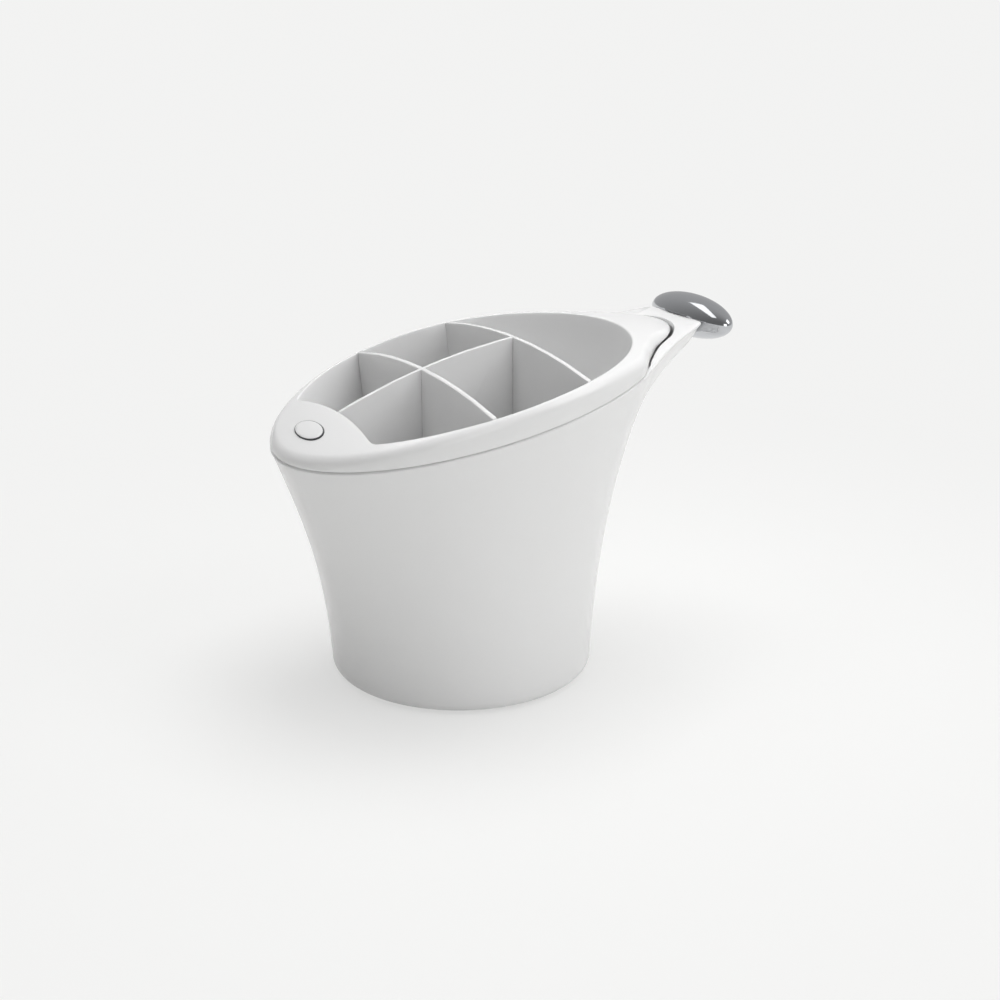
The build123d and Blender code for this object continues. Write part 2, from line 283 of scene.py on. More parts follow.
# %% Rubber
def matte_rubber(name, colour):
    """Dull rubber with a fine grain."""
    finish, shader = new_finish(name)
    shader.inputs["Base Color"].default_value = (*colour, 1)
    grain = noise_texture(finish.node_tree, 700, 5)
    shallow_bump(finish.node_tree, shader, grain.outputs["Fac"], 0.5, 0.0002)
    gloss = spread(finish.node_tree, grain.outputs["Fac"], 0.62, 0.85)
    finish.node_tree.links.new(gloss, shader.inputs["Roughness"])
    return finish


rubber = matte_rubber("grey_rubber", (0.20, 0.20, 0.21))
# the near-black colour of this finish is painted shade: it darkens the badge's side wall where shade
# falls
painted_shade_trim = matte_rubber("painted_shade_trim", (0.06, 0.06, 0.065))
print("rubber finishes:", rubber.name, painted_shade_trim.name)

# %% [markdown]
# ## The table
# The picture's ground is one even tone. So whatever looks at the table, the camera or a shiny
# surface, sees that tone mixed into it, and only near the pot does enough of the lit table stay to
# show the pot's shadow. Light Path tells which kind of ray arrives; diffuse rays still meet a plain
# pale table, so the pot gets no more light than from a real one. The backdrop has the same tone all
# over.

# %% Table surface
background_tone = (0.893, 0.893, 0.887)
table_finish, table_shader = new_finish("pale_table")
table_tree = table_finish.node_tree
table_shader.inputs["Base Color"].default_value = (0.84, 0.84, 0.83, 1)
table_shader.inputs["Roughness"].default_value = 0.7

even_tone = add_node(table_tree, "ShaderNodeEmission")
even_tone.inputs["Color"].default_value = (*background_tone, 1)

rays = add_node(table_tree, "ShaderNodeLightPath").outputs
seen = calculate(table_tree, "ADD", rays["Is Camera Ray"], rays["Is Glossy Ray"])
seen_at_all = calculate(table_tree, "ADD", seen, rays["Is Transmission Ray"])
seen_at_all.node.use_clamp = True

table_place = add_node(table_tree, "ShaderNodeTexCoord")
from_pot = add_node(table_tree, "ShaderNodeVectorMath", operation="LENGTH")
table_tree.links.new(table_place.outputs["Object"], from_pot.inputs[0])
evenness = add_node(table_tree, "ShaderNodeMapRange", interpolation_type="SMOOTHSTEP")
evenness.inputs["From Min"].default_value = 0.10
evenness.inputs["From Max"].default_value = 0.50
evenness.inputs["To Min"].default_value = 0.6
evenness.inputs["To Max"].default_value = 1.0
table_tree.links.new(from_pot.outputs["Value"], evenness.inputs["Value"])
amount = calculate(table_tree, "MULTIPLY", seen_at_all, evenness.outputs["Result"])

table_mix = add_node(table_tree, "ShaderNodeMixShader")
table_tree.links.new(amount, table_mix.inputs["Fac"])
table_tree.links.new(table_shader.outputs["BSDF"], table_mix.inputs[1])
table_tree.links.new(even_tone.outputs["Emission"], table_mix.inputs[2])
table_output = table_tree.nodes["Material Output"]
table_tree.links.new(table_mix.outputs["Shader"], table_output.inputs["Surface"])
floor.data.materials.append(table_finish)
print("table finished")

# %% Backdrop surface
backdrop_finish = bpy.data.materials.new("backdrop_finish")
backdrop_finish.use_nodes = True
backdrop_tree = backdrop_finish.node_tree
backdrop_tree.nodes.clear()
backdrop_glow = add_node(backdrop_tree, "ShaderNodeEmission")
backdrop_glow.inputs["Color"].default_value = (*background_tone, 1)
backdrop_output = add_node(backdrop_tree, "ShaderNodeOutputMaterial")
backdrop_tree.links.new(backdrop_glow.outputs["Emission"], backdrop_output.inputs["Surface"])
backdrop.data.materials.append(backdrop_finish)
print("backdrop finished")

# %% [markdown]
# ## The rule behind the pot's shape
# Seen from above, every level of the pot is an oval. The oval grows from the round foot to the lip,
# slowly at first and then fast, and near the lip one end is drawn out into the spout. Level planes
# also tilt more and more towards the lip. Because all of this follows a few numbers, the surface can
# be written as rings of points: one ring for each level, joined by quads. That gives an even mesh
# with a smooth flare, which pulling vertices by hand never does.

# %% Sizes of the pot and the collar, in metres
foot_radius = 0.0600
half_length_growth = 0.0305
half_width_growth = 0.0108
mouth_middle = 0.0044
lip_height = 0.128
lip_slope = 0.204
spout_reach = 0.0654
handle_end = 0.1164
pot_wall = 0.0024
pot_underside = 0.0006
pot_floor = 0.0036
foot_rounding = 0.005
dome_radius = 0.300
dome_side_radius = 0.342
dome_tongue_radius = 0.420
dome_middle = 0.0609
dome_top = 0.1529
collar_half_length = 0.0905
collar_half_width = 0.0708
shoulder_x = 0.060
collar_plate = 0.0025
collar_skirt = 0.0018
collar_rounding = 0.0035
seat_gap = 0.00025
print("handle ends", round(1000 * handle_end, 1), "mm from the middle")


# %% Directions round the mouth, closest together at the spout
direction_count = 400
crowding_at_spout = 0.72
even_turn = np.arange(direction_count) * 2 * math.pi / direction_count
direction = even_turn - crowding_at_spout * np.sin(even_turn)
folded = np.minimum(direction, 2 * math.pi - direction)
outline_points = 3000
half_turn = np.linspace(0, math.pi, outline_points)
print("directions are", round(math.degrees(direction[1]), 2), "degrees apart at the spout")


# %% One level of the pot as distances from the middle of the mouth
def as_distances(x, y):
    """Distance from the mouth's middle in each direction, for half an outline given as points."""
    bearing = np.arctan2(y, x - mouth_middle)
    distance = np.hypot(x - mouth_middle, y)
    return np.interp(folded, bearing, distance)


def long_flare(share):
    """How much of the growth in length is reached at a share of the height."""
    return 0.26 * share + 0.74 * share**2.3


def wide_flare(share):
    """How much of the growth in width is reached at a share of the height."""
    return 0.19 * share + 0.81 * share**1.77


def flared_level(share, foot):
    """The oval at a share of the height, with the spout that grows near the lip."""
    long = foot + half_length_growth * long_flare(share)
    wide = foot + half_width_growth * wide_flare(share)
    beak = share**6.8 * ((1 + np.cos(half_turn)) / 2) ** 33.6
    x = mouth_middle * share**5.3 + long * np.cos(half_turn) + spout_reach * beak
    y = wide * np.sin(half_turn) * (1 - 0.16 * beak)
    return as_distances(x, y)


def soft_least(value, limit, blend):
    """The smaller of value and limit, with the corner between them rounded."""
    mix = np.clip(0.5 + 0.5 * (limit - value) / blend, 0, 1)
    return limit + (value - limit) * mix - blend * mix * (1 - mix)


print("before its end is cut off, the spout adds", round(1000 * spout_reach, 1), "mm")


# %% The collar's outline: the oval mouth, drawn in to a tongue that lies in the spout
shoulder_turn = math.acos((shoulder_x - mouth_middle) / collar_half_length)
oval_turn = np.linspace(shoulder_turn, math.pi, 400)
oval_x = mouth_middle + collar_half_length * np.cos(oval_turn)
oval_y = collar_half_width * np.sin(oval_turn)
tongue_tip = [(0.1080, 0), (0.1064, 0.0088), (0.1018, 0.0160)]
tongue_side = [(0.0952, 0.0232), (0.0847, 0.0303), (0.0729, 0.0421)]
spout_tip = [(0.1094, 0), (0.1077, 0.0090), (0.1047, 0.0150)]
spout_side = [(0.0985, 0.0220), (0.0928, 0.0256), (0.0850, 0.0307), (0.0731, 0.0424)]


def smooth_through(knots, start_heading, end_heading, steps):
    """A smooth curve through the knots, leaving and arriving along the two headings."""
    knots = np.array(knots, float)
    headings = np.empty_like(knots)
    headings[1:-1] = (knots[2:] - knots[:-2]) / 2
    headings[0] = np.array(start_heading) * np.linalg.norm(knots[1] - knots[0])
    headings[-1] = np.array(end_heading) * np.linalg.norm(knots[-1] - knots[-2])
    curve = []
    for here, there, leave, arrive in zip(knots, knots[1:], headings, headings[1:]):
        for step in np.linspace(0, 1, steps, endpoint=False):
            curve.append(
                (2 * step**3 - 3 * step**2 + 1) * here
                + (step**3 - 2 * step**2 + step) * leave
                + (3 * step**2 - 2 * step**3) * there
                + (step**3 - step**2) * arrive
            )
    return np.array(curve)


shoulder_heading = np.array(
    [-collar_half_length * math.sin(shoulder_turn), collar_half_width * math.cos(shoulder_turn)]
)
shoulder_heading /= np.linalg.norm(shoulder_heading)


def drawn_in(knots, growth):
    """The oval mouth, grown by a factor, with its end drawn in through the knots."""
    oval = np.column_stack([oval_x, oval_y]) * growth
    end = smooth_through([*knots, oval[0]], (0, 1), shoulder_heading, 40)
    return as_distances(*np.concatenate([end, oval]).T)


spout_growth = 1.015
collar_edge = drawn_in(tongue_tip + tongue_side, 1)
spout_limit = drawn_in(spout_tip + spout_side, spout_growth)
edge_slant = np.gradient(collar_edge, direction) / collar_edge
edge_stretch = np.sqrt(1 + edge_slant**2)
print("collar reaches", round(float(collar_edge[0] + mouth_middle) * 1000, 1), "mm into the spout")


# %% Turning rings into a closed mesh
sharp_corner = math.radians(38)


def ring_at(distance, height, slope):
    """Points at these distances on a sloping plane, cut off at the handle's end."""
    x = soft_least(mouth_middle + distance * np.cos(direction), handle_end, 0.005)
    y = distance * np.sin(direction)
    return np.column_stack([x, y, height + slope * x])


def round_ring(radius, height):
    """A level circle about the foot's middle, with its points in the same directions."""
    circle = as_distances(radius * np.cos(half_turn), radius * np.sin(half_turn))
    return ring_at(circle, height, 0)


def ring_mesh(name, rings, ends, finish):
    """Joins rings into one mesh, with "joined", "flat" or "pointed" ends."""
    count = len(rings[0])
    points = [tuple(point) for ring in rings for point in ring]
    faces = []
    pairs = len(rings) if ends == "joined" else len(rings) - 1
    for level in range(pairs):
        low = level * count
        high = ((level + 1) % len(rings)) * count
        for step in range(count):
            following = (step + 1) % count
            faces.append((low + step, low + following, high + following, high + step))
    for start in (0, (len(rings) - 1) * count):
        if ends == "flat":
            faces.append(tuple(range(start, start + count)))
        elif ends == "pointed":
            middle = len(points)
            points.append(tuple(np.mean(points[start : start + count], axis=0)))
            faces += [(middle, start + step, start + (step + 1) % count) for step in range(count)]
    mesh = bpy.data.meshes.new(name)
    mesh.from_pydata(points, [], faces)
    return piece_from(name, mesh, finish)


def piece_from(name, mesh, finish):
    """An object at the origin with this mesh, its faces outwards, smooth except at its corners."""
    shape = bmesh.new()
    shape.from_mesh(mesh)
    bmesh.ops.remove_doubles(shape, verts=shape.verts, dist=0.000001)
    bmesh.ops.recalc_face_normals(shape, faces=shape.faces)
    shape.to_mesh(mesh)
    shape.free()
    mesh.materials.clear()
    mesh.materials.append(finish)
    mesh.shade_smooth()
    mesh.set_sharp_from_angle(angle=sharp_corner)
    piece = bpy.data.objects.new(name, mesh)
    bpy.context.scene.collection.objects.link(piece)
    return piece


print("corners sharper than", round(math.degrees(sharp_corner)), "degrees stay sharp")


# %% [markdown]
# ## The pot
# The rings run from the middle of the underside, past the groove for the foot ring, up the outside,
# over the rounded lip and down the inside to the floor. The inside is the same flared form, one
# wall smaller, but it may not reach further than the collar's outline: what is left between the two
# is the solid end of the spout, where the knob is screwed on.

# %% Rings of the pot
groove_inside = 0.048
groove_outside = 0.054
groove_top = 0.002
pot_rings = [round_ring(0.020, pot_underside), round_ring(groove_inside, pot_underside)]
pot_rings += [round_ring(groove_inside, groove_top), round_ring(groove_outside, groove_top)]
pot_rings.append(round_ring(groove_outside, pot_underside))
for quarter in np.linspace(0, math.pi / 2, 9):
    radius = foot_radius - foot_rounding * (1 - math.sin(quarter))
    pot_rings.append(round_ring(radius, pot_underside + foot_rounding * (1 - math.cos(quarter))))

outer_start = pot_underside + foot_rounding
for share in np.concatenate([np.linspace(0.03, 0.78, 26), np.linspace(0.8, 0.995, 28)]):
    height = outer_start + share * (lip_height - outer_start)
    pot_rings.append(ring_at(flared_level(share, foot_radius), height, share * lip_slope))

lip_rounding = 0.0010
lip_outside = flared_level(1, foot_radius)
for quarter in np.linspace(0.15, math.pi / 2, 5):
    distance = lip_outside - lip_rounding * (1 - math.cos(quarter))
    height = lip_height - lip_rounding * (1 - math.sin(quarter))
    pot_rings.append(ring_at(distance, height, lip_slope))

cavity_rounding = 0.0026
cavity_start = pot_floor + cavity_rounding
inside_lip = np.minimum(flared_level(1, foot_radius - pot_wall), spout_limit)
pot_rings.append(ring_at(inside_lip + 0.0003, lip_height, lip_slope))
for share in np.linspace(0.997, 0, 50):
    inside = np.minimum(flared_level(share, foot_radius - pot_wall), spout_limit)
    height = cavity_start + share * (lip_height - cavity_start)
    pot_rings.append(ring_at(inside, height, share * lip_slope))
for quarter in np.linspace(math.pi / 2, 0, 6)[1:]:
    radius = foot_radius - pot_wall - cavity_rounding * (1 - math.sin(quarter))
    pot_rings.append(round_ring(radius, pot_floor + cavity_rounding * (1 - math.cos(quarter))))
pot_rings.append(round_ring(0.020, pot_floor))
pot_shell = ring_mesh("pot_shell", pot_rings, "pointed", white_plastic)
print("pot has", len(pot_rings), "rings")


# %% [markdown]
# ## Screw hole in the handle's end
# The knob's screw is driven from inside the spout, so the solid end has a seat for the screw's head,
# a hole and a socket for the knob's spigot. Three rods are taken away from the pot with a Boolean
# modifier, whose result is then made the piece's own mesh, so that nothing live is left on it.

# %% Drilling the handle's end
def rod_along_x(start, end, radius, height):
    """A closed rod along X, used as a drill."""
    shape = bmesh.new()
    bmesh.ops.create_cone(
        shape, cap_ends=True, segments=48, radius1=radius, radius2=radius, depth=end - start
    )
    turn = Vector((0, 0, 1)).rotation_difference(Vector((1, 0, 0))).to_matrix().to_4x4()
    bmesh.ops.transform(shape, matrix=turn, verts=shape.verts)
    bmesh.ops.translate(shape, vec=((start + end) / 2, 0, height), verts=shape.verts)
    mesh = bpy.data.meshes.new("drill")
    shape.to_mesh(mesh)
    shape.free()
    drill = bpy.data.objects.new("drill", mesh)
    bpy.context.scene.collection.objects.link(drill)
    return drill


def drilled(piece, drill):
    """Takes the drill's shape out of the piece and throws the drill away."""
    cut = piece.modifiers.new("cut", "BOOLEAN")
    cut.operation = "DIFFERENCE"
    cut.solver = "EXACT"
    cut.object = drill
    evaluated = piece.evaluated_get(bpy.context.evaluated_depsgraph_get())
    mesh = bpy.data.meshes.new_from_object(evaluated)
    piece.modifiers.remove(cut)
    piece.data = mesh
    bpy.data.objects.remove(drill)


screw_height = 0.145
screw_head_seat = (0.1000, 0.1125, 0.0038)
screw_hole = (0.1100, 0.1150, 0.0022)
spigot_socket = (0.1146, 0.1200, 0.0040)
for start, end, radius in (screw_head_seat, screw_hole, spigot_socket):
    drilled(pot_shell, rod_along_x(start, end, radius, screw_height))
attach(pot_shell, "pot")
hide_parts("outer_pot")
print("drilled pot has", len(pot_shell.data.polygons), "faces")

# %% [markdown]
# ## The collar
# The insert's collar has a domed top, shaped like a barrel: an arc along the collar that is turned
# about a line far below it, a little flatter over the tongue. Its outer edge is well rounded, less
# so at the tongue's tip, and its opening only a little. Each point gets its height from the dome, so
# the rings only have to say how far out they are and how far below it. The opening is where the
# basket's flared inside meets the dome. Neither the height nor the width is known first, so they are
# found together, in a few rounds.

# %% The dome and the basket's inside
basket_underside = 0.0166
basket_foot_radius = 0.0532
basket_length_growth = 0.0210
basket_width_growth = 0.0122
basket_shift = 0.0019
platform_arc = 0.260
platform_edge = -0.0584


def dome_height(x, y):
    """Height of the dome above a point on the table."""
    bend = np.where(x > dome_middle, dome_tongue_radius, dome_radius)
    arc = np.sqrt(bend**2 - (x - dome_middle) ** 2) + dome_side_radius - bend
    return dome_top - dome_side_radius + np.sqrt(arc**2 - y**2)


def platform_front(radius):
    """Distance to the platform's long arc, which closes the front of the opening."""
    arc_middle = platform_edge - platform_arc - mouth_middle
    along = arc_middle * np.cos(folded)
    reach = along**2 - arc_middle**2 + radius**2
    hit = (np.cos(folded) < -0.3) & (reach > 0)
    return np.where(hit, along - np.sqrt(np.maximum(reach, 0)), 1.0)


def basket_oval(share, outset):
    """Half an oval of the basket's inside at shares of its height, grown by outset."""
    long = basket_foot_radius + outset + basket_length_growth * long_flare(share)
    wide = basket_foot_radius + outset + basket_width_growth * wide_flare(share)
    return basket_shift * share + long * np.cos(half_turn), wide * np.sin(half_turn)


def cut_by_platform(level, outset):
    """An oval level with its front cut by the platform's arc, and soft corners between them."""
    return soft_least(level, platform_front(platform_arc - outset), 0.003)


def opening_at(depth, outset):
    """Where the basket's inside, grown by outset, lies this deep below the dome."""
    share = np.full(outline_points, 1.1)
    for _ in range(12):
        x, y = basket_oval(share, outset)
        height = dome_height(x, y) - depth
        share = (height - basket_underside) / (lip_height - basket_underside + lip_slope * x)
    return cut_by_platform(as_distances(x, y), outset)


opening_edge = opening_at(0, 0)
print("opening is", round(float(opening_edge[0] + opening_edge.min()) * 1000, 1), "mm long at least")


# %% Rings of the collar
def under_dome(distance, depth):
    """A ring at these distances that lies this deep below the dome."""
    x = mouth_middle + distance * np.cos(direction)
    y = distance * np.sin(direction)
    return np.column_stack([x, y, dome_height(x, y) - depth])


def not_below_seat(ring):
    """Lifts a ring to the pot's lip, or to the plate's underside where that is lower."""
    x, y, z = ring.T
    plate_underside = dome_height(x, y) - collar_plate
    seat = np.minimum(lip_height + seat_gap + lip_slope * x, plate_underside)
    return np.column_stack([x, y, np.maximum(z, seat)])


edge_rounding = 0.0006
less_at_tip = 0.0015
top_inside = opening_edge + edge_rounding
rounding = collar_rounding - less_at_tip * np.exp(-((folded / 0.2) ** 2))
rim_width = (collar_edge - top_inside) / edge_stretch
last_quarter = np.arccos(np.clip(1 - rim_width / rounding, 0, 1))
rim_drop = rounding * (1 - np.sin(last_quarter))

collar_rings = []
for inset, lift in ((0.0006, 0), (0.0002, 0.0001), (0, 0.0004)):
    ring = not_below_seat(under_dome(collar_edge - inset * edge_stretch, 0.1))
    ring[:, 2] += lift
    collar_rings.append(ring)
for part in np.linspace(0, 1, 12):
    quarter = last_quarter * part
    top_outside = collar_edge - rounding * (1 - np.cos(quarter)) * edge_stretch
    ring = not_below_seat(under_dome(top_outside, rounding * (1 - np.sin(quarter))))
    ring[:, 2] = np.maximum(ring[:, 2], collar_rings[-1][:, 2])
    collar_rings.append(ring)
for step in np.linspace(0, 1, 13)[1:]:
    collar_rings.append(under_dome(top_outside + (top_inside - top_outside) * step, rim_drop))
for quarter in np.linspace(math.pi / 2, 0, 5)[1:]:
    depth = edge_rounding * (1 - math.sin(quarter))
    distance = opening_at(depth, 0) + edge_rounding * (1 - math.cos(quarter))
    collar_rings.append(under_dome(distance, rim_drop + depth))
plate_inside = opening_at(collar_plate, 0)
collar_rings.append(under_dome(plate_inside, collar_plate))
skirt_inside = np.maximum(collar_edge - collar_skirt * edge_stretch, plate_inside + 0.0005)
collar_rings.append(under_dome(skirt_inside, collar_plate))
collar_rings.append(not_below_seat(under_dome(skirt_inside, 0.1)))
collar_shell = ring_mesh("collar_shell", collar_rings, "joined", white_plastic)
print("collar has", len(collar_rings), "rings and", len(collar_shell.data.polygons), "faces")
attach(collar_shell, "insert")
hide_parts("insert_collar")

# %% [markdown]
# ## The basket
# The basket hangs below the collar. Its floor is perforated, so that water runs off the cutlery into
# the pot. The wall is again made of rings. Each side of the floor is one flat face without a middle
# point, because thin slivers that meet in a point spoil the drilling. The holes repeat on a grid,
# which is work for Geometry Nodes: one drill is put on every grid point that is near enough to the
# middle, and all the drills are taken out of the basket at once. Pitch, hole size and the drilled
# circle are inputs of the tree.

# %% Rings of the basket
basket_floor = 0.0186
basket_wall = 0.0016


def basket_wall_rings(outset, shares):
    """Rings up one side of the basket's wall."""
    rings = []
    for share in shares:
        height = basket_underside + share * (lip_height - basket_underside)
        level = cut_by_platform(as_distances(*basket_oval(share, outset)), outset)
        rings.append(ring_at(level, height, share * lip_slope))
    return rings


basket_rings = [round_ring(basket_foot_radius, basket_underside)]
basket_rings.append(round_ring(0.0545, basket_underside + 0.0005))
basket_rings += basket_wall_rings(basket_wall, np.linspace(0.015, 1, 30))
basket_rings.append(under_dome(opening_at(collar_plate, basket_wall), collar_plate))
basket_rings.append(under_dome(plate_inside, collar_plate))
basket_rings += basket_wall_rings(0, np.linspace(1, 0.035, 30))
basket_rings.append(round_ring(0.0526, basket_floor))
basket_shell = ring_mesh("basket_shell", basket_rings, "flat", white_plastic)
print("basket has", len(basket_rings), "rings")

# %% A node tree that drills a grid of holes
perforation = bpy.data.node_groups.new("perforated_floor", "GeometryNodeTree")
face = perforation.interface
face.new_socket("Geometry", in_out="INPUT", socket_type="NodeSocketGeometry")
inputs = {
    "Hole pitch": 0.00922,
    "Hole diameter": 0.005,
    "Drilled radius": 0.0482,
    "Drill height": 0.0176,
    "Middle of the grid": 0.00465,
}
for title, size in inputs.items():
    socket = face.new_socket(title, in_out="INPUT", socket_type="NodeSocketFloat")
    socket.default_value = size
face.new_socket("Finish", in_out="INPUT", socket_type="NodeSocketMaterial")
face.new_socket("Geometry", in_out="OUTPUT", socket_type="NodeSocketGeometry")


# %% The grid of drills
given = add_node(perforation, "NodeGroupInput").outputs
grid = add_node(perforation, "GeometryNodeMeshGrid")
for axis, holes in (("X", 13), ("Y", 12)):
    grid.inputs["Vertices " + axis].default_value = holes
    side = calculate(perforation, "MULTIPLY", given["Hole pitch"], holes - 1)
    perforation.links.new(side, grid.inputs["Size " + axis])
grid_place = add_node(perforation, "ShaderNodeCombineXYZ")
perforation.links.new(given["Middle of the grid"], grid_place.inputs["X"])
perforation.links.new(given["Drill height"], grid_place.inputs["Z"])
moved_grid = add_node(perforation, "GeometryNodeTransform")
perforation.links.new(grid.outputs["Mesh"], moved_grid.inputs["Geometry"])
perforation.links.new(grid_place.outputs["Vector"], moved_grid.inputs["Translation"])

position = add_node(perforation, "GeometryNodeInputPosition")
flat = add_node(perforation, "ShaderNodeVectorMath", operation="MULTIPLY")
flat.inputs[1].default_value = (1, 1, 0)
perforation.links.new(position.outputs["Position"], flat.inputs[0])
far_out = add_node(perforation, "ShaderNodeVectorMath", operation="LENGTH")
perforation.links.new(flat.outputs["Vector"], far_out.inputs[0])
near = calculate(perforation, "LESS_THAN", far_out.outputs["Value"], given["Drilled radius"])

drill_shape = add_node(perforation, "GeometryNodeMeshCylinder")
drill_shape.inputs["Vertices"].default_value = 28
drill_shape.inputs["Depth"].default_value = 0.006
drill_radius = calculate(perforation, "MULTIPLY", given["Hole diameter"], 0.5)
perforation.links.new(drill_radius, drill_shape.inputs["Radius"])
drills = add_node(perforation, "GeometryNodeInstanceOnPoints")
perforation.links.new(moved_grid.outputs["Geometry"], drills.inputs["Points"])
perforation.links.new(near, drills.inputs["Selection"])
perforation.links.new(drill_shape.outputs["Mesh"], drills.inputs["Instance"])

# %% Taking the drills out of the basket
solid_drills = add_node(perforation, "GeometryNodeRealizeInstances")
perforation.links.new(drills.outputs["Instances"], solid_drills.inputs["Geometry"])
taken_out = add_node(perforation, "GeometryNodeMeshBoolean", operation="DIFFERENCE")
perforation.links.new(given["Geometry"], taken_out.inputs["Mesh 1"])
perforation.links.new(solid_drills.outputs["Geometry"], taken_out.inputs["Mesh 2"])
painted = add_node(perforation, "GeometryNodeSetMaterial")
perforation.links.new(taken_out.outputs["Mesh"], painted.inputs["Geometry"])
perforation.links.new(given["Finish"], painted.inputs["Material"])
result = add_node(perforation, "NodeGroupOutput")
perforation.links.new(painted.outputs["Geometry"], result.inputs["Geometry"])
print("tree", perforation.name, "has", len(perforation.nodes), "nodes")


# %% Running a tree on a piece
def run_tree(piece, tree, values):
    """Runs a tree on a piece with these inputs and keeps its result as the piece's own mesh."""
    step = piece.modifiers.new(tree.name, "NODES")
    step.node_group = tree
    for item in tree.interface.items_tree:
        if item.in_out == "INPUT" and item.name in values:
            step[item.identifier] = values[item.name]
    evaluated = piece.evaluated_get(bpy.context.evaluated_depsgraph_get())
    mesh = bpy.data.meshes.new_from_object(evaluated)
    piece.modifiers.remove(step)
    piece.data = mesh
    mesh.shade_smooth()
    mesh.set_sharp_from_angle(angle=sharp_corner)


run_tree(basket_shell, perforation, {**inputs, "Finish": white_plastic})
for face in basket_shell.data.polygons:
    face.use_smooth = abs(face.normal.z) < 0.9999
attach(basket_shell, "insert")
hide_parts("drain_basket")
print("perforated basket has", len(basket_shell.data.polygons), "faces")

# %% [markdown]
# ## The dividers
# Three thin plates cross in the basket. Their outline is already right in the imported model, where
# every edge is sharp. Real moulded edges are a little round and catch the light as a bright line, so
# each plate is copied, its loose triangles are merged, and a Bevel modifier rounds its edges.

# %% Plates with rounded edges
def rounded_copy(node, name, width, finish):
    """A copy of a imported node, with its sharp edges rounded."""
    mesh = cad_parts[node].data.copy()
    shape = bmesh.new()
    shape.from_mesh(mesh)
    bmesh.ops.remove_doubles(shape, verts=shape.verts, dist=0.00001)
    bmesh.ops.dissolve_limit(
        shape, angle_limit=math.radians(2), verts=shape.verts, edges=shape.edges
    )
    shape.to_mesh(mesh)
    shape.free()
    piece = bpy.data.objects.new(name, mesh)
    bpy.context.scene.collection.objects.link(piece)
    rounding = piece.modifiers.new("rounding", "BEVEL")
    rounding.width = width
    rounding.segments = 3
    rounding.limit_method = "ANGLE"
    rounding.angle_limit = math.radians(50)
    evaluated = piece.evaluated_get(bpy.context.evaluated_depsgraph_get())
    smooth_mesh = bpy.data.meshes.new_from_object(evaluated)
    piece.modifiers.remove(rounding)
    piece.data = smooth_mesh
    smooth_mesh.materials.clear()
    smooth_mesh.materials.append(finish)
    smooth_mesh.shade_smooth()
    smooth_mesh.set_sharp_from_angle(angle=math.radians(30))
    return piece


for node in ("front_divider", "rear_divider", "centre_divider"):
    plate = rounded_copy(node, node + "_plate", 0.0004, white_plastic)
    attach(plate, "insert")
    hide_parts(node)
    print(plate.name, "has", len(plate.data.polygons), "faces")

# %% [markdown]
# ## The knob
# The knob is a long polished pebble that lies across the handle's end. It is a ball stretched
# sideways, made of rings round its long axis, and pressed flat where it meets the handle. Only even
# rings give a clean reflection: chrome shows every dent in a mesh.

# %% Rings of the knob
knob_middle = Vector((0.1255, 0, 0.1503))
knob_radius = 0.0101
knob_half_length = 0.0295
handle_top = lip_height + lip_slope * handle_end + 0.0002
ring_points = 96
ring_turn = np.arange(ring_points) * 2 * math.pi / ring_points
knob_rings = []
for share in np.linspace(-1, 1, 97)[1:-1]:
    lean = math.pi / 2 * share
    x = knob_middle.x + knob_radius * math.cos(lean) * np.cos(ring_turn)
    z = knob_middle.z + knob_radius * math.cos(lean) * np.sin(ring_turn)
    y = np.full(ring_points, knob_half_length * math.sin(lean))
    x = np.where(z < handle_top, np.maximum(x, handle_end), x)
    knob_rings.append(np.column_stack([x, y, z]))
knob_shell = ring_mesh("knob_shell", knob_rings, "pointed", chrome)
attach(knob_shell, "pot")
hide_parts("handle_knob")
print("knob is", round(knob_half_length * 2000, 1), "mm long")

# %% [markdown]
# ## The badge
# A small oval badge is let into the platform. It is left bare: a gently domed oval with a near-black
# trim round its side, whose dark colour is painted shade along the badge's side wall. The trim
# follows a path, so Geometry Nodes sweep a small round profile along an ellipse. Both are made flat
# and then laid on the dome with one matrix, which goes into their meshes.

# %% A node tree for a trim along an oval
oval_trim = bpy.data.node_groups.new("oval_trim", "GeometryNodeTree")
trim_inputs = {"Half length": 0.0113, "Half width": 0.0047, "Bead radius": 0.0005}
for title, size in trim_inputs.items():
    socket = oval_trim.interface.new_socket(title, in_out="INPUT", socket_type="NodeSocketFloat")
    socket.default_value = size
oval_trim.interface.new_socket("Finish", in_out="INPUT", socket_type="NodeSocketMaterial")
oval_trim.interface.new_socket("Geometry", in_out="OUTPUT", socket_type="NodeSocketGeometry")
trim_given = add_node(oval_trim, "NodeGroupInput").outputs
circle = add_node(oval_trim, "GeometryNodeCurvePrimitiveCircle")
circle.inputs["Resolution"].default_value = 96
circle.inputs["Radius"].default_value = 1
oval_scale = add_node(oval_trim, "ShaderNodeCombineXYZ")
oval_scale.inputs["Z"].default_value = 1
oval_trim.links.new(trim_given["Half length"], oval_scale.inputs["X"])
oval_trim.links.new(trim_given["Half width"], oval_scale.inputs["Y"])
oval_path = add_node(oval_trim, "GeometryNodeTransform")
oval_trim.links.new(circle.outputs["Curve"], oval_path.inputs["Geometry"])
oval_trim.links.new(oval_scale.outputs["Vector"], oval_path.inputs["Scale"])
bead = add_node(oval_trim, "GeometryNodeCurvePrimitiveCircle")
bead.inputs["Resolution"].default_value = 12
oval_trim.links.new(trim_given["Bead radius"], bead.inputs["Radius"])
sweep = add_node(oval_trim, "GeometryNodeCurveToMesh")
oval_trim.links.new(oval_path.outputs["Geometry"], sweep.inputs["Curve"])
oval_trim.links.new(bead.outputs["Curve"], sweep.inputs["Profile Curve"])
solid_trim = add_node(oval_trim, "GeometryNodeRealizeInstances")
oval_trim.links.new(sweep.outputs["Mesh"], solid_trim.inputs["Geometry"])
trim_painted = add_node(oval_trim, "GeometryNodeSetMaterial")
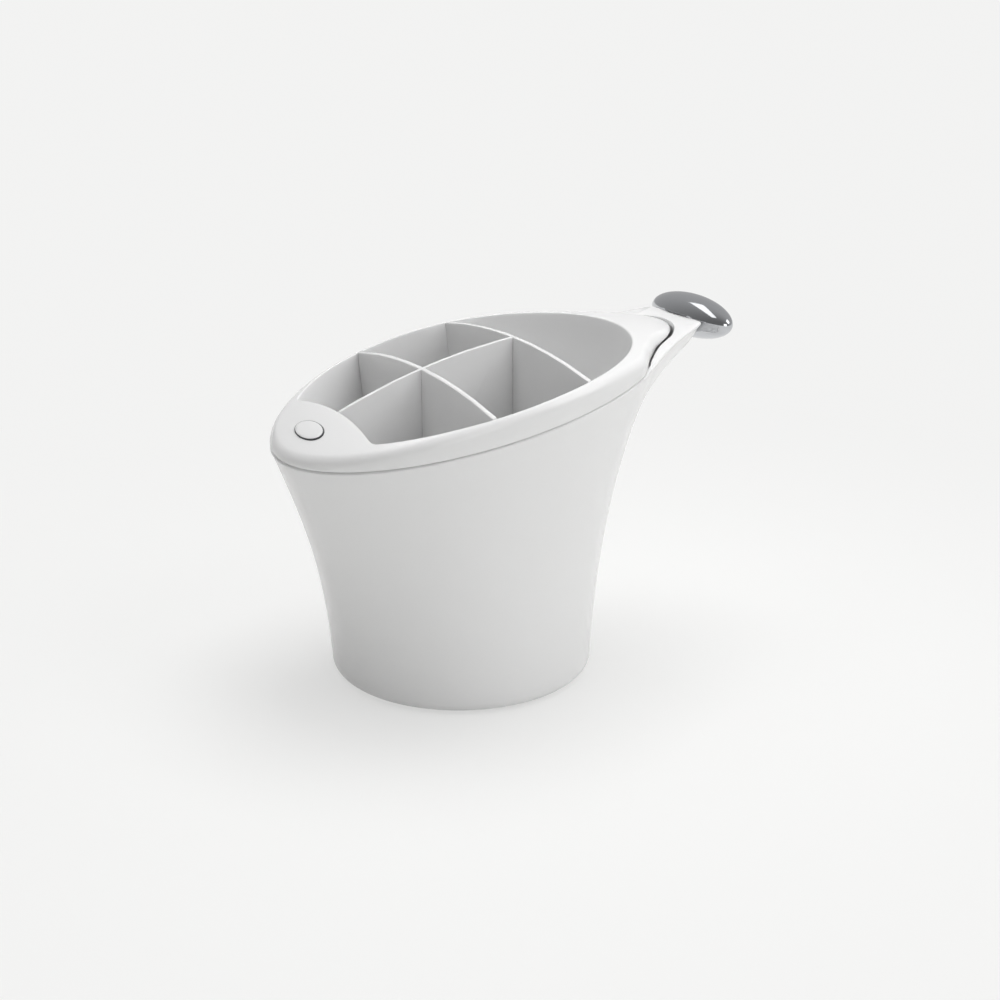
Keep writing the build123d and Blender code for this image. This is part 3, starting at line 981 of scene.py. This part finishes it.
oval_trim.links.new(solid_trim.outputs["Geometry"], trim_painted.inputs["Geometry"])
oval_trim.links.new(trim_given["Finish"], trim_painted.inputs["Material"])
trim_result = add_node(oval_trim, "NodeGroupOutput")
oval_trim.links.new(trim_painted.outputs["Geometry"], trim_result.inputs["Geometry"])
print("tree", oval_trim.name, "has", len(oval_trim.nodes), "nodes")

# %% The badge and its trim, made flat
badge_half_length = 0.0114
badge_half_width = 0.0048
badge_rings = []
badge_steps = [(0.3, -0.0006), (0.99, -0.0006), (1, 0.0002), (0.985, 0.0005), (0.95, 0.00062)]
badge_steps += [(scale, 0.0006 + 0.0002 * (1 - scale**2)) for scale in (0.8, 0.6, 0.4, 0.2)]
for scale, height in badge_steps:
    x = badge_half_length * scale * np.cos(ring_turn)
    y = badge_half_width * scale * np.sin(ring_turn)
    badge_rings.append(np.column_stack([x, y, np.full(ring_points, height)]))
badge_oval = ring_mesh("badge_oval", badge_rings, "pointed", badge_plastic)
# the trim's near-black finish is painted shade along the badge's side wall
badge_trim = piece_from("badge_trim", bpy.data.meshes.new("badge_trim"), painted_shade_trim)
run_tree(badge_trim, oval_trim, {**trim_inputs, "Finish": painted_shade_trim})

# %% Laying the badge on the platform
badge_x = -0.0721
lean = math.asin((badge_x - dome_middle) / dome_radius)
upwards = Vector((math.sin(lean), 0, math.cos(lean)))
across = Vector((0, 1, 0))
place = Matrix((across, across.cross(upwards), upwards)).transposed().to_4x4()
place.translation = Vector((badge_x, 0, float(dome_height(badge_x, 0))))
for piece in (badge_oval, badge_trim):
    piece.data.transform(place)
    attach(piece, "insert")
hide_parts("badge")
print("badge lies at", [round(value * 1000, 1) for value in place.translation], "mm")

# %% [markdown]
# ## What stays as it was packed
# The screw and the foot ring are already as detailed as the real ones. They only get their finish.

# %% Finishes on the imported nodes
node_finishes = {
    "outer_pot": white_plastic,
    "insert_collar": white_plastic,
    "drain_basket": white_plastic,
    "front_divider": white_plastic,
    "rear_divider": white_plastic,
    "centre_divider": white_plastic,
    "badge": badge_plastic,
    "handle_knob": chrome,
    "knob_screw": steel,
    "foot_ring": rubber,
}
for node, finish in node_finishes.items():
    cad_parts[node].data.materials.clear()
    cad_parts[node].data.materials.append(finish)
print("finished nodes:", len(node_finishes))

# %% Size of the dressed model
dressed_low, dressed_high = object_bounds()
dressed_size = [dressed_high[axis] - dressed_low[axis] for axis in range(3)]
print("dressed model measures", [round(side * 1000, 1) for side in dressed_size], "mm")
